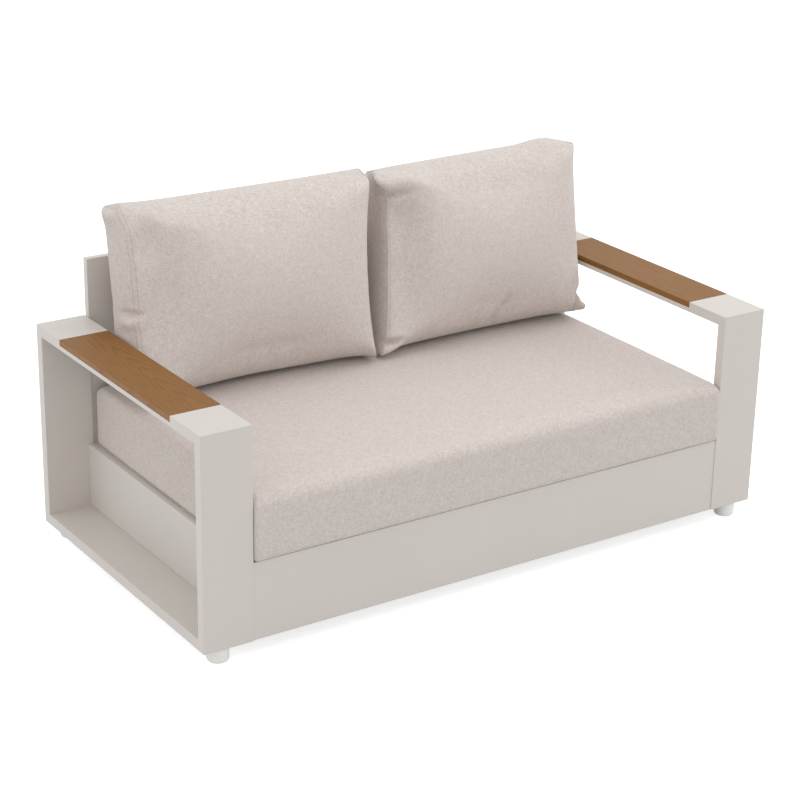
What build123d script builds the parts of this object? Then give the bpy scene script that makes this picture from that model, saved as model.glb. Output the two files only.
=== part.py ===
"""Patio loveseat: aluminium frame, open shelf arms with wood boards, loose seat and back cushions.

Millimetres. The origin is on the floor at the middle of the footprint, +X to the right as seen
from the front, +Y to the back, +Z up.
"""
import os
from math import cos, radians, sin

from build123d import *

# Overall sizes of the frame
overall_width = 1500.0
arm_depth = 770.0
arm_top = 526.0
back_top = 665.0
foot_height = 37.0
apron_height = 180.0

# Arm rings, mitred and welded from rectangular tube
arm_width = 120.0
arm_tube = 25.0
arm_wall = 1.5
tube_corner = 1.5

# Wood board let into the top of each arm
board_length = 520.0
board_front_inset = 128.0
board_thickness = 14.0
board_edge_radius = 1.2
board_end_gap = 0.3
board_screw_count = 3
board_screw_end_inset = 60.0
screw_diameter = 4.8
screw_head_diameter = 9.5
screw_head_height = 3.2
screw_grip_in_board = 9.0
screw_recess_width = 2.6
screw_recess_depth = 1.8

# Hollow side wall behind each shelf and hollow front apron
side_wall_thickness = 13.0
side_wall_cell_count = 4
apron_thickness = 25.0
apron_recess = 2.0
apron_cell_count = 4
plank_wall = 1.5
plank_web = 1.3

# Seat frame between the arms
frame_gap = 0.5
seat_rail_width = 25.0
seat_rail_height = 40.0
seat_rail_wall = 1.5
seat_beam_width = 25.0
seat_beam_count = 2
slat_count = 8
slat_width = 50.0
slat_height = 15.0
slat_wall = 1.2

# Back panel: tube frame behind one plain sheet
back_inset = 4.0
back_tube_depth = 16.0
back_tube_width = 40.0
back_tube_wall = 1.5
back_skin = 1.5
back_post_count = 2

# Bolts and the blind rivet nuts that they run into
arm_bolt_diameter = 8.0
arm_bolt_count = 2
arm_bolt_end_inset = 110.0
arm_bolt_rise = 13.0
arm_nut_length = 9.5
back_bolt_diameter = 6.0
back_bolt_low = 300.0
back_bolt_high = 470.0
back_nut_length = 12.0
seat_bolt_end_inset = 300.0
seat_bolt_count = 2
nut_wall = 1.6
bolt_hole_clearance = 0.3
thread_clearance = 0.05
fastener_sides = 12
head_diameter_share = 1.6
head_height_share = 0.55
socket_width_share = 0.55
socket_depth_share = 0.35

# Levelling feet: moulded glide on a threaded stud, in a nut welded inside the shelf tube
foot_diameter = 49.0
foot_edge_chamfer = 5.0
foot_side_inset = 49.0
foot_end_inset = 30.0
foot_seat_gap = 0.3
stud_diameter = 8.0
stud_grip_in_foot = 20.0
stud_reach = 20.0
stud_clearance = 0.1
weld_nut_width = 13.0
weld_nut_height = 13.0

# Cushions: sewn covers over filled cores
soft_gap = 0.3
cover_thickness = 4.0
seat_cushion_thickness = 152.0
seat_cushion_proud = 8.0
seat_cushion_back_gap = 6.0
seat_cushion_round = 34.0
seat_cushion_crown = 12.0
seat_cushion_crown_width = 130.0
seat_cushion_foot_round = 16.0
seat_cushion_corner = 26.0
seat_cushion_draw_shares = (0.004, 0.006)
back_cushion_height = 447.0
back_cushion_gusset = 125.0
back_cushion_front_crown = 42.0
back_cushion_back_crown = 80.0
back_cushion_corner = 24.0
back_cushion_draw_shares = (0.02, 0.04)
back_cushion_crown_reach_share = 0.32
back_cushion_side_gap = 7.0
back_cushion_spacing = 4.0
back_cushion_lean = 9.0
back_cushion_stand_off = 177.5
corner_growth_share = 0.25
cover_counts = {"side": 6, "corner": 3, "rise": 4}
core_counts = {"side": 4, "corner": 2, "rise": 2}

# One overrun for every cut that has to pass a face
overrun = 5.0

# Places worked out from the sizes above
arm_outer_x = overall_width / 2
arm_inner_x = arm_outer_x - arm_width
arm_front_y = seat_cushion_proud - (arm_depth + seat_cushion_proud) / 2
arm_back_y = arm_front_y + arm_depth
shelf_top = foot_height + arm_tube
deck_top = foot_height + apron_height
rail_bottom = arm_top - arm_tube
window_y = (arm_front_y + arm_tube, arm_back_y - arm_tube)
board_y = (arm_front_y + board_front_inset, arm_front_y + board_front_inset + board_length)
board_z = (arm_top - board_thickness, arm_top)
frame_half = arm_inner_x - frame_gap
apron_y = (arm_front_y + apron_recess, arm_front_y + apron_recess + apron_thickness)
back_rear_y = arm_back_y - back_inset
skin_y = (back_rear_y - back_tube_depth - back_skin, back_rear_y - back_tube_depth)
back_tube_y = (skin_y[1], back_rear_y)
seat_rear_y = skin_y[0] - frame_gap
seat_rail_z = (deck_top - seat_rail_height, deck_top)
rail_inner_x = frame_half - seat_rail_width
front_rail_y = (apron_y[1], apron_y[1] + seat_rail_width)
rear_rail_y = (seat_rear_y - seat_rail_width, seat_rear_y)
seat_cushion_bottom = deck_top + soft_gap
seat_cushion_top = seat_cushion_bottom + seat_cushion_thickness
back_cushion_width = arm_inner_x - back_cushion_side_gap - back_cushion_spacing / 2


# General forms

def box(x, y, z):
    """A box that fills three (low, high) spans."""
    size = [span[1] - span[0] for span in (x, y, z)]
    middle = [(span[0] + span[1]) / 2 for span in (x, y, z)]
    return Pos(*middle) * Box(*size)


def section_plane(x, y, z, run):
    """The plane at the low end of a bar, with its section's two sizes."""
    mid_x, mid_y, mid_z = [(span[0] + span[1]) / 2 for span in (x, y, z)]
    size_x, size_y, size_z = [span[1] - span[0] for span in (x, y, z)]
    if run == "x":
        return Plane((x[0], mid_y, mid_z), x_dir=(0, 1, 0), z_dir=(1, 0, 0)), size_y, size_z, size_x
    if run == "y":
        return Plane((mid_x, y[0], mid_z), x_dir=(1, 0, 0), z_dir=(0, 1, 0)), size_x, size_z, size_y
    return Plane((mid_x, mid_y, z[0]), x_dir=(1, 0, 0), z_dir=(0, 0, 1)), size_x, size_y, size_z


def bar(x, y, z, run):
    """A solid bar with rounded long edges, for the tubes that show."""
    plane, width, height, length = section_plane(x, y, z, run)
    return plane * extrude(RectangleRounded(width, height, tube_corner), length)


def bore(x, y, z, run, wall):
    """The hollow of a tube: its box drawn in by the wall on the four long sides."""
    spans = {"x": x, "y": y, "z": z}
    for name in spans:
        if name != run:
            spans[name] = (spans[name][0] + wall, spans[name][1] - wall)
    return box(spans["x"], spans["y"], spans["z"])


def arm_member(x, y, z, run):
    """A tube of the arm rings, open at both ends, with its rounded long edges."""
    return bar(x, y, z, run) - bore(x, y, z, run, arm_wall)


def tube(x, y, z, run, wall):
    """A square-edged extruded tube, open at both ends."""
    return box(x, y, z) - bore(x, y, z, run, wall)


def plank(x, y, z, run, cells):
    """An extruded hollow plank that stands on edge, with level webs between its cells."""
    form = bar(x, y, z, run)
    cell = (z[1] - z[0] - 2 * plank_wall - (cells - 1) * plank_web) / cells
    for index in range(cells):
        low = z[0] + plank_wall + index * (cell + plank_web)
        form -= bore(x, y, (low - plank_wall, low + cell + plank_wall), run, plank_wall)
    return form


def rod(start, direction, diameter, length):
    """A bar from a point along a direction, with the few sides that all fasteners and holes share."""
    return Plane(start, z_dir=direction) * extrude(RegularPolygon(diameter / 2, fastener_sides), length)


def bolt(seat, direction, diameter, length):
    """A socket head bolt whose head rests at a point, its shank along a direction."""
    head_height = diameter * head_height_share
    socket = RegularPolygon(diameter * socket_width_share / 2, 6, major_radius=False)
    socket_cut = Pos(0, 0, -head_height) * extrude(socket, diameter * socket_depth_share)
    head = Pos(0, 0, -head_height) * rod((0, 0, 0), (0, 0, 1), diameter * head_diameter_share, head_height)
    shank = rod((0, 0, 0), (0, 0, 1), diameter, length)
    return Plane(seat, z_dir=direction) * (shank + head - socket_cut)


def rivet_nut(face, direction, diameter, length):
    """A blind rivet nut, flush with a face, its body along a direction."""
    thread = diameter + 2 * thread_clearance
    return rod(face, direction, thread + 2 * nut_wall, length) - rod(face, direction, thread, length)


def evenly(low, high, count):
    """Places spread evenly from low to high, both ends taken."""
    return [low + (high - low) * index / (count - 1) for index in range(count)]


def write(name, shape):
    """Write one named piece."""
    export_step(shape, f"parts/{name}.step")


# Arms

def arm_span(side):
    """The arm's (low, high) span in X, for side -1 or +1."""
    return tuple(sorted((side * arm_inner_x, side * arm_outer_x)))


def mitre(corners):
    """A prism across both arms' width whose outline is one member of the ring, cut at its mitres."""
    points = [(y, z) for y, z in corners]
    face = make_face(Polyline(*points, close=True))
    return Plane((-arm_outer_x, 0, 0), x_dir=(0, 1, 0), z_dir=(1, 0, 0)) * extrude(face, overall_width)


ring_outer = {
    "bottom_front": (arm_front_y, foot_height),
    "bottom_back": (arm_back_y, foot_height),
    "top_back": (arm_back_y, arm_top),
    "top_front": (arm_front_y, arm_top),
}
ring_inner = {
    "bottom_front": (window_y[0], shelf_top),
    "bottom_back": (window_y[1], shelf_top),
    "top_back": (window_y[1], rail_bottom),
    "top_front": (window_y[0], rail_bottom),
}


def ring_member(first, second):
    """The mitred outline between two corners of the ring."""
    return mitre([ring_outer[first], ring_outer[second], ring_inner[second], ring_inner[first]])


def board_screw_places(side):
    """Points under the arm where the board's screws enter."""
    x = side * (arm_outer_x + arm_inner_x) / 2
    low = board_y[0] + board_screw_end_inset
    high = board_y[1] - board_screw_end_inset
    return [(x, y, rail_bottom) for y in evenly(low, high, board_screw_count)]


def arm_top_rail(side):
    """Top tube with its upper part cut away and closed again, so that the board lies flush."""
    x = arm_span(side)
    y = (arm_front_y, arm_back_y)
    z = (rail_bottom, arm_top)
    cut_x = (x[0] - overrun, x[1] + overrun)
    recess = box(cut_x, board_y, (board_z[0], arm_top + overrun))
    lining_y = (board_y[0] - arm_wall, board_y[1] + arm_wall)
    lining = box(cut_x, lining_y, (board_z[0] - arm_wall, arm_top + overrun))
    rail = bar(x, y, z, "y") - recess - (bore(x, y, z, "y", arm_wall) - lining)
    rail &= ring_member("top_front", "top_back")
    for place in board_screw_places(side):
        rail -= rod(place, (0, 0, 1), screw_diameter + 2 * bolt_hole_clearance, arm_tube)
    return rail


def arm_post(side, front):
    """Front or rear post; the rear one has holes for the back panel's rivet nuts."""
    y = (arm_front_y, window_y[0]) if front else (window_y[1], arm_back_y)
    end = "front" if front else "back"
    post = arm_member(arm_span(side), y, (foot_height, arm_top), "z")
    post &= ring_member("bottom_" + end, "top_" + end)
    if not front:
        for place in back_nut_places(side):
            body = back_bolt_diameter + 2 * (nut_wall + thread_clearance)
            post -= rod(place, (side, 0, 0), body, arm_wall + overrun)
    return post


def arm_shelf(side):
    """Bottom tube, the shelf, with a stud hole over each foot."""
    shelf = arm_member(arm_span(side), (arm_front_y, arm_back_y), (foot_height, shelf_top), "y")
    shelf &= ring_member("bottom_front", "bottom_back")
    for y in foot_y.values():
        start = (side * foot_x, y, foot_height - overrun)
        shelf -= rod(start, (0, 0, 1), stud_diameter + 2 * bolt_hole_clearance, overrun + 2 * arm_wall)
    return shelf


def armrest_board(side):
    """Wood board as wide as the arm, with eased long edges and blind screw holes below."""
    y = (board_y[0] + board_end_gap, board_y[1] - board_end_gap)
    board = box(arm_span(side), y, board_z)
    board = fillet(board.edges().filter_by(Axis.Y).group_by(Axis.Z)[-1], board_edge_radius)
    for x, place_y, _ in board_screw_places(side):
        start = (x, place_y, board_z[0])
        board -= rod(start, (0, 0, 1), screw_diameter, screw_grip_in_board)
    return board


def board_screws():
    """Pan head screws from under both arms into the boards, all in one group."""
    screws = []
    length = board_z[0] - rail_bottom + screw_grip_in_board
    for side in (-1, 1):
        for x, y, z in board_screw_places(side):
            shank = rod((x, y, z), (0, 0, 1), screw_diameter, length)
            head = rod((x, y, z - screw_head_height), (0, 0, 1), screw_head_diameter, screw_head_height)
            slot_z = (z - screw_head_height, z - screw_head_height + screw_recess_depth)
            half = screw_recess_width / 2
            recess = box((x - half, x + half), (y - half, y + half), slot_z)
            screws.append(shank + head - recess)
    return Compound(children=screws)


def side_wall(side):
    """Hollow plank that closes the shelf towards the seat, with holes for the rivet nuts."""
    x = tuple(sorted((side * arm_inner_x, side * (arm_inner_x + side_wall_thickness))))
    wall = plank(x, window_y, (shelf_top, deck_top), "y", side_wall_cell_count)
    for place in arm_nut_places(side):
        body = arm_bolt_diameter + 2 * (nut_wall + thread_clearance)
        wall -= rod(place, (side, 0, 0), body, plank_wall)
    return wall


# Seat frame

def front_apron():
    """Hollow plank across the front, bottom flush with the arms."""
    return plank((-frame_half, frame_half), apron_y, (foot_height, deck_top), "x", apron_cell_count)


def seat_side_rail(side):
    """Tube along the arm, drilled right through for the bolts into the side wall."""
    x = tuple(sorted((side * rail_inner_x, side * frame_half)))
    rail = tube(x, (apron_y[1], seat_rear_y), seat_rail_z, "y", seat_rail_wall)
    for place in arm_bolt_places(side):
        start = (place[0] - side * overrun, place[1], place[2])
        hole = arm_bolt_diameter + 2 * bolt_hole_clearance
        rail -= rod(start, (side, 0, 0), hole, seat_rail_width + 2 * overrun)
    return rail


def seat_cross_rail(y):
    """Tube between the side rails, at the front or at the rear."""
    return tube((-rail_inner_x, rail_inner_x), y, seat_rail_z, "x", seat_rail_wall)


def seat_rear_rail():
    """Rear tube with holes for the rivet nuts that hold the back panel."""
    rail = seat_cross_rail(rear_rail_y)
    for x, _, z in seat_bolt_places():
        body = back_bolt_diameter + 2 * (nut_wall + thread_clearance)
        rail -= rod((x, seat_rear_y, z), (0, -1, 0), body, 2 * seat_rail_wall)
    return rail


def seat_beam(index):
    """Front-to-back beam that the slats lie on."""
    pitch = 2 * rail_inner_x / (seat_beam_count + 1)
    middle = -rail_inner_x + pitch * (index + 1)
    x = (middle - seat_beam_width / 2, middle + seat_beam_width / 2)
    z = (seat_rail_z[0], deck_top - slat_height)
    return tube(x, (front_rail_y[1], rear_rail_y[0]), z, "y", seat_rail_wall)


def seat_slat(index):
    """One slat between the side rails, evenly spaced from front to back."""
    gap = (rear_rail_y[0] - front_rail_y[1] - slat_count * slat_width) / (slat_count + 1)
    low = front_rail_y[1] + gap + index * (slat_width + gap)
    z = (deck_top - slat_height, deck_top)
    return tube((-rail_inner_x, rail_inner_x), (low, low + slat_width), z, "x", slat_wall)


# Back panel

stile_inner_x = frame_half - back_tube_width
back_opening_z = (foot_height + back_tube_width, back_top - back_tube_width)


def back_mitre(outer_corners, inner_corners):
    """A prism through the back's depth whose outline is one member of its frame, cut at its mitres."""
    face = make_face(Polyline(*outer_corners, *reversed(inner_corners), close=True))
    return Plane((0, back_tube_y[1], 0), x_dir=(1, 0, 0), z_dir=(0, -1, 0)) * extrude(face, back_tube_depth)


def back_stile(side):
    """Upright at the end of the panel, drilled for the bolts into the arm's rear post."""
    x = tuple(sorted((side * stile_inner_x, side * frame_half)))
    stile = tube(x, back_tube_y, (foot_height, back_top), "z", back_tube_wall)
    stile &= back_mitre([(side * frame_half, z) for z in (foot_height, back_top)],
                        [(side * stile_inner_x, z) for z in back_opening_z])
    for place in back_bolt_places(side):
        start = (place[0] - side * overrun, place[1], place[2])
        hole = back_bolt_diameter + 2 * bolt_hole_clearance
        stile -= rod(start, (side, 0, 0), hole, back_tube_width + 2 * overrun)
    return stile


def back_end_rail(outer_z, inner_z):
    """Level tube at the top or the bottom, mitred to both stiles."""
    z = (min(outer_z, inner_z), max(outer_z, inner_z))
    rail = tube((-frame_half, frame_half), back_tube_y, z, "x", back_tube_wall)
    return rail & back_mitre([(x, outer_z) for x in (-frame_half, frame_half)],
                             [(x, inner_z) for x in (-stile_inner_x, stile_inner_x)])


def back_seat_rail(z):
    """Level tube between the stiles, drilled where the bolts pass through it into the seat frame."""
    rail = tube((-stile_inner_x, stile_inner_x), back_tube_y, z, "x", back_tube_wall)
    for x, y, bolt_z in seat_bolt_places():
        if z[0] < bolt_z < z[1]:
            hole = back_bolt_diameter + 2 * bolt_hole_clearance
            rail -= rod((x, y + overrun, bolt_z), (0, -1, 0), hole, back_tube_depth + 2 * overrun)
    return rail


def back_post(index):
    """Upright behind the sheet between the seat rail and the top rail."""
    pitch = 2 * stile_inner_x / (back_post_count + 1)
    middle = -stile_inner_x + pitch * (index + 1)
    x = (middle - back_tube_width / 2, middle + back_tube_width / 2)
    return tube(x, back_tube_y, (deck_top, back_opening_z[1]), "z", back_tube_wall)


def back_sheet():
    """The plain sheet that faces the seat."""
    sheet = box((-frame_half, frame_half), skin_y, (foot_height, back_top))
    for x, y, z in seat_bolt_places():
        hole = back_bolt_diameter + 2 * bolt_hole_clearance
        sheet -= rod((x, skin_y[1] + overrun, z), (0, -1, 0), hole, back_skin + 2 * overrun)
    return sheet


# Bolts and rivet nuts

def arm_bolt_places(side):
    """Points on the seat rail's inner face where the bolt heads rest."""
    low = apron_y[1] + arm_bolt_end_inset
    high = seat_rear_y - arm_bolt_end_inset
    z = seat_rail_z[0] + arm_bolt_rise
    return [(side * rail_inner_x, y, z) for y in evenly(low, high, arm_bolt_count)]


def arm_nut_places(side):
    """Points on the side wall's inner face, opposite the bolts."""
    return [(side * arm_inner_x, y, z) for _, y, z in arm_bolt_places(side)]


def back_bolt_places(side):
    """Points on the stile's inner face where the bolt heads rest."""
    y = (back_tube_y[0] + back_tube_y[1]) / 2
    return [(side * stile_inner_x, y, z) for z in (back_bolt_low, back_bolt_high)]


def back_nut_places(side):
    """Points on the rear post's inner face, opposite the bolts."""
    return [(side * arm_inner_x, y, z) for _, y, z in back_bolt_places(side)]


def seat_bolt_places():
    """Points on the rear of the back panel where bolts run forward into the seat frame."""
    z = (seat_rail_z[0] + seat_rail_z[1]) / 2
    reach = frame_half - seat_bolt_end_inset
    return [(x, back_rear_y, z) for x in evenly(-reach, reach, seat_bolt_count)]


def seat_to_arm_bolts():
    length = seat_rail_width + frame_gap + arm_nut_length
    return [bolt(place, (side, 0, 0), arm_bolt_diameter, length)
            for side in (-1, 1) for place in arm_bolt_places(side)]


def side_wall_rivet_nuts():
    return [rivet_nut(place, (side, 0, 0), arm_bolt_diameter, arm_nut_length)
            for side in (-1, 1) for place in arm_nut_places(side)]


def back_to_arm_bolts():
    length = back_tube_width + frame_gap + back_nut_length
    return [bolt(place, (side, 0, 0), back_bolt_diameter, length)
            for side in (-1, 1) for place in back_bolt_places(side)]


def rear_post_rivet_nuts():
    return [rivet_nut(place, (side, 0, 0), back_bolt_diameter, back_nut_length)
            for side in (-1, 1) for place in back_nut_places(side)]


def back_to_seat_bolts():
    length = back_tube_depth + back_skin + frame_gap + back_nut_length
    return [bolt(place, (0, -1, 0), back_bolt_diameter, length) for place in seat_bolt_places()]


def seat_rail_rivet_nuts():
    return [rivet_nut((x, seat_rear_y, z), (0, -1, 0), back_bolt_diameter, back_nut_length)
            for x, _, z in seat_bolt_places()]


# Levelling feet

foot_x = arm_outer_x - foot_side_inset
foot_y = {"front": arm_front_y + foot_end_inset, "rear": arm_back_y - foot_end_inset}
foot_top = foot_height - foot_seat_gap


def foot_glide(x, y):
    """Moulded round glide with its lower edge taken off and a blind bore for the stud."""
    radius, edge = foot_diameter / 2, foot_edge_chamfer
    outline = Polyline((0, 0), (radius - edge, 0), (radius, edge), (radius, foot_top), (0, foot_top),
                       close=True)
    glide = revolve(Plane.XZ * make_face(outline), Axis.Z)
    glide -= rod((0, 0, foot_top - stud_grip_in_foot), (0, 0, 1), stud_diameter, foot_height)
    return Pos(x, y, 0) * glide


def foot_stud(x, y):
    """Threaded stud, moulded into the glide and reaching up into the shelf tube."""
    start = (x, y, foot_top - stud_grip_in_foot)
    return rod(start, (0, 0, 1), stud_diameter, stud_grip_in_foot + foot_seat_gap + stud_reach)


def foot_weld_nuts():
    """Hexagon nuts welded on the inside of the shelf tubes, one over each foot."""
    hexagon = RegularPolygon(weld_nut_width / 2, 6, major_radius=False)
    thread = rod((0, 0, 0), (0, 0, 1), stud_diameter + 2 * stud_clearance, weld_nut_height)
    nut = extrude(hexagon, weld_nut_height) - thread
    return [Pos(side * foot_x, y, foot_height + arm_wall) * nut
            for side in (-1, 1) for y in foot_y.values()]


# Cushions

def cushion_ring(level, width, height, corner, draw_shares, steps):
    """Points round a cushion at one level, its four sides drawn in between rounded corners.

    A side is drawn in by a share of its own run, so rings of any size have parallel edges and the
    facets between them are flat.
    """
    points = []
    for turn in range(4):
        across, up = (width / 2, height / 2) if turn % 2 == 0 else (height / 2, width / 2)
        run = across - corner
        draw = 2 * run * draw_shares[turn % 2]
        side = [(run * share, draw * (1 - share ** 2) - up) for share in evenly(-1, 1, steps["side"] + 1)]
        bend = [(run + corner * sin(angle), corner * (1 - cos(angle)) - up)
                for angle in quarter_turn(steps["corner"])]
        points += [Vector(x, y, level).rotate(Axis.Z, 90 * turn) for x, y in side + bend[1:-1]]
    return points


def quarter_turn(steps):
    """Angles of a quarter turn in even steps, both ends taken."""
    return [radians(90 * step / steps) for step in range(steps + 1)]


def cushion_solid(width, height, corner, draw_shares, levels, steps):
    """A soft form skinned over rings, each given by its level and its inset from the widest one."""
    rings = [cushion_ring(level, width - 2 * inset, height - 2 * inset,
                          corner + inset * corner_growth_share, draw_shares, steps)
             for level, inset in levels]
    facets = [rings[0], rings[-1]]
    for lower, upper in zip(rings, rings[1:]):
        for index in range(len(lower)):
            facets.append([lower[index - 1], lower[index], upper[index], upper[index - 1]])
    return Solid(Shell([Face(Wire.make_polygon(facet)) for facet in facets]))


def seat_levels(thickness, steps):
    """Levels of the seat cushion: eased foot, upright boxing, rounded shoulder, low crown."""
    foot, shoulder = seat_cushion_foot_round, seat_cushion_round
    boxing_top = thickness - seat_cushion_crown - shoulder
    turn = quarter_turn(steps["rise"])
    levels = [(foot * (1 - cos(angle)), foot * (1 - sin(angle))) for angle in turn]
    levels += [(boxing_top + shoulder * sin(angle), shoulder * (1 - cos(angle))) for angle in turn]
    levels.append((thickness, shoulder + seat_cushion_crown_width))
    return levels


def seat_cushion_form(skin, steps):
    """The seat cushion's form, drawn in all round by a skin's thickness."""
    width = 2 * (arm_inner_x - soft_gap - skin)
    front = arm_front_y - seat_cushion_proud + skin
    back = skin_y[0] - seat_cushion_back_gap - skin
    levels = seat_levels(seat_cushion_thickness - 2 * skin, steps)
    form = cushion_solid(width, back - front, seat_cushion_corner - skin,
                         seat_cushion_draw_shares, levels, steps)
    return Pos(0, (front + back) / 2, seat_cushion_bottom + skin) * form


def crown_levels(seam, rise, steps):
    """Levels of one crowned panel, from its seam to the flat of its crown."""
    reach = back_cushion_height * back_cushion_crown_reach_share
    return [(seam + rise * sin(angle), reach * (1 - cos(angle))) for angle in quarter_turn(steps["rise"])]


def back_cushion_form(side, skin, steps):
    """A back cushion, leaning, flat where it rests on the seat cushion and on the panel."""
    seam = back_cushion_gusset / 2 - skin
    front = crown_levels(seam, back_cushion_front_crown, steps)
    rear = [(-level, inset) for level, inset in crown_levels(seam, back_cushion_back_crown, steps)]
    form = cushion_solid(back_cushion_width - 2 * skin, back_cushion_height - 2 * skin,
                         back_cushion_corner - skin, back_cushion_draw_shares, rear[::-1] + front, steps)
    middle_x = side * (back_cushion_width + back_cushion_spacing) / 2
    middle_y = skin_y[0] - back_cushion_stand_off
    lean = Plane((middle_x, middle_y, seat_cushion_top), x_dir=(1, 0, 0), z_dir=(0, -1, 0))
    upright = lean * (Pos(0, back_cushion_height / 2, 0) * form)
    hinge = Axis((0, middle_y, seat_cushion_top), (1, 0, 0))
    leaning = upright.rotate(hinge, -back_cushion_lean)
    room = box((-overall_width, overall_width),
               (-arm_depth, skin_y[0] - soft_gap - skin),
               (seat_cushion_top + soft_gap + skin, 2 * back_top))
    return leaning & room


def split_cover(outer, core):
    """The sewn cover as a closed shell round its core."""
    return outer - core


os.makedirs("parts", exist_ok=True)
side_names = {-1: "left", 1: "right"}

for side, name in side_names.items():
    write(f"{name}_arm_top_rail", arm_top_rail(side))
    write(f"{name}_arm_front_post", arm_post(side, front=True))
    write(f"{name}_arm_rear_post", arm_post(side, front=False))
    write(f"{name}_arm_shelf", arm_shelf(side))
    write(f"{name}_side_wall", side_wall(side))
    write(f"{name}_armrest_board", armrest_board(side))
    write(f"{name}_seat_rail", seat_side_rail(side))
    write(f"{name}_back_stile", back_stile(side))
    for end, y in foot_y.items():
        write(f"{end}_{name}_foot", foot_glide(side * foot_x, y))
        write(f"{end}_{name}_foot_stud", foot_stud(side * foot_x, y))
    cushion = back_cushion_form(side, 0, cover_counts)
    core = back_cushion_form(side, cover_thickness, core_counts)
    write(f"{name}_back_cushion_cover", split_cover(cushion, core))
    write(f"{name}_back_cushion_core", core)

write("front_apron", front_apron())
write("seat_front_rail", seat_cross_rail(front_rail_y))
write("seat_rear_rail", seat_rear_rail())
for index in range(seat_beam_count):
    write(f"seat_beam_{index + 1}", seat_beam(index))
for index in range(slat_count):
    write(f"seat_slat_{index + 1}", seat_slat(index))

write("back_sheet", back_sheet())
write("back_top_rail", back_end_rail(back_top, back_opening_z[1]))
write("back_seat_rail", back_seat_rail(seat_rail_z))
write("back_bottom_rail", back_end_rail(foot_height, back_opening_z[0]))
for index in range(back_post_count):
    write(f"back_post_{index + 1}", back_post(index))

write("board_screws", board_screws())
write("seat_to_arm_bolts", Compound(children=seat_to_arm_bolts()))
write("side_wall_rivet_nuts", Compound(children=side_wall_rivet_nuts()))
write("back_to_arm_bolts", Compound(children=back_to_arm_bolts()))
write("rear_post_rivet_nuts", Compound(children=rear_post_rivet_nuts()))
write("back_to_seat_bolts", Compound(children=back_to_seat_bolts()))
write("seat_rail_rivet_nuts", Compound(children=seat_rail_rivet_nuts()))
write("foot_weld_nuts", Compound(children=foot_weld_nuts()))

seat_cushion = seat_cushion_form(0, cover_counts)
seat_core = seat_cushion_form(cover_thickness, core_counts)
write("seat_cushion_cover", split_cover(seat_cushion, seat_core))
write("seat_cushion_core", seat_core)
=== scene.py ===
"""Patio loveseat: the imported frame, dressed in the order in which the real one is put together."""

import math

import bpy
import numpy as np
from mathutils import Euler, Matrix, Vector


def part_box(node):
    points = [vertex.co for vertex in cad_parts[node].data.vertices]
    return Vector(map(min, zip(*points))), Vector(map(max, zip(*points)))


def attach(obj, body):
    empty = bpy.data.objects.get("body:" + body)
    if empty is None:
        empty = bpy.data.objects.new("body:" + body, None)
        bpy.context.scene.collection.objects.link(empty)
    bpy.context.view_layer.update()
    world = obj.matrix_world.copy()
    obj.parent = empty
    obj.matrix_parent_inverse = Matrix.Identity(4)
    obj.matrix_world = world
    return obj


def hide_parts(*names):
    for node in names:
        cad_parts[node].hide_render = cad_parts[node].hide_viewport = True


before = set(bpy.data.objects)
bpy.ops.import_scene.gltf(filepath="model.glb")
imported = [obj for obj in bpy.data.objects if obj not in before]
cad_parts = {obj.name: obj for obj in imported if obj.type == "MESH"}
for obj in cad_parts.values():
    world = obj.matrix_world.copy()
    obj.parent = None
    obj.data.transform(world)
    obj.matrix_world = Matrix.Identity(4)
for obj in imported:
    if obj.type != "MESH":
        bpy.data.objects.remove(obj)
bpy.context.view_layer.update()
scene = bpy.context.scene


# Arms
# Each arm is a ring of flat 120 x 25 mm aluminium tube, mitred, welded and ground flush.
# It is powder coated after welding, in one warm light grey, so hardly a joint shows.

coat_colour = "#D7D1CB"
coat_shade_colour = "#D2CCC6"
orange_peel_size = 0.0012
coat_cloud_size = 0.25


def linear(hex_colour):
    """An sRGB hex colour as linear red, green, blue and alpha."""
    shares = [int(hex_colour[place:place + 2], 16) / 255 for place in (1, 3, 5)]
    return [share / 12.92 if share <= 0.04045 else ((share + 0.055) / 1.055) ** 2.4 for share in shares] + [1]


def add_node(tree, kind, settings, inputs):
    """Adds a node with its settings, gives each input a value or a link, and returns its outputs."""
    node = tree.nodes.new(kind)
    for name, value in settings.items():
        setattr(node, name, value)
    for name, value in inputs.items():
        if isinstance(value, bpy.types.NodeSocket):
            tree.links.new(value, node.inputs[name])
        else:
            node.inputs[name].default_value = value
    return node.outputs


def empty_material(name):
    """A new material with an empty node tree."""
    material = bpy.data.materials.new(name)
    material.use_nodes = True
    material.node_tree.nodes.clear()
    return material


def powder_coated_aluminium():
    """Polyester powder coat, baked on: a soft low gloss over a very fine orange peel."""
    material = empty_material("powder_coated_aluminium_warm_grey")
    tree = material.node_tree
    place = add_node(tree, "ShaderNodeTexCoord", {}, {})["Object"]
    peel = add_node(tree, "ShaderNodeTexNoise", {}, {"Vector": place, "Scale": 1 / orange_peel_size,
                                                     "Detail": 2.0})["Fac"]
    cloud = add_node(tree, "ShaderNodeTexNoise", {}, {"Vector": place, "Scale": 1 / coat_cloud_size})["Fac"]
    colour = add_node(tree, "ShaderNodeMix", {"data_type": "RGBA"},
                      {0: cloud, 6: linear(coat_colour), 7: linear(coat_shade_colour)})[2]
    gloss = add_node(tree, "ShaderNodeMapRange", {}, {"Value": peel, "To Min": 0.42, "To Max": 0.54})[0]
    relief = add_node(tree, "ShaderNodeBump", {}, {"Height": peel, "Strength": 0.06, "Distance": 0.0002})[0]
    surface = add_node(tree, "ShaderNodeBsdfPrincipled", {},
                       {"Base Color": colour, "Roughness": gloss, "IOR": 1.5, "Normal": relief})[0]
    add_node(tree, "ShaderNodeOutputMaterial", {}, {"Surface": surface})
    return material


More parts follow.
